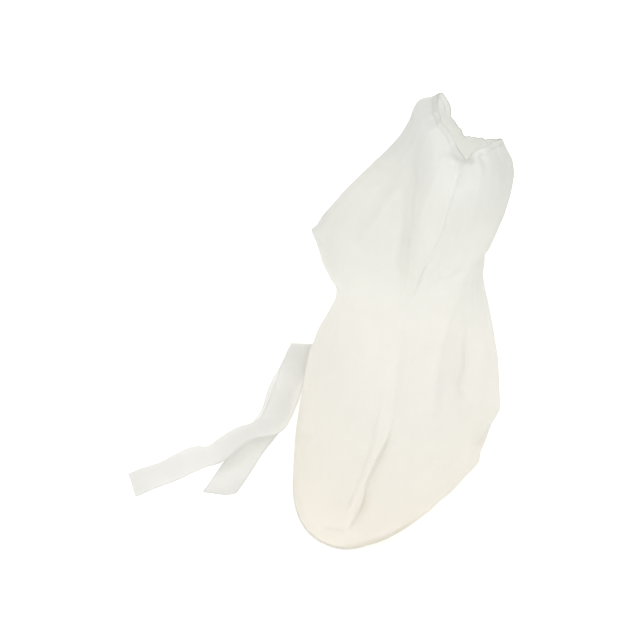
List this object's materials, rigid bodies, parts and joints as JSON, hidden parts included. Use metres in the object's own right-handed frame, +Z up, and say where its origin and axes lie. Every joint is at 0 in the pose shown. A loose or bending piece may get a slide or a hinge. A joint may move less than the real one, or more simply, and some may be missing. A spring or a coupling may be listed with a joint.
{
  "type": "overboot",
  "caption": "Slack nonwoven overboot with a flat sole panel, a pinched front seam, a gathered elastic collar and flat fabric ties at the side.",
  "frame": {"origin": "on the floor under the sole, near the middle of its length", "axes": "+Z up, the toe towards -Y, +X to the right of someone who looks at the toe"},
  "size_m": [0.3589, 0.3772, 0.3765],
  "materials": {
    "upper_sheet": "matt spun-bonded sheet",
    "hem_sheet": "gathered matt sheet",
    "sole_sheet": "matt sheet",
    "tie_sheet": "matt sheet strip"
  },
  "bodies": {
    "root": {"sole": "sole_sheet", "upper": "upper_sheet", "collar_hem": "hem_sheet", "tie_long": "tie_sheet", "tie_short": "tie_sheet"}
  },
  "joints": []
}
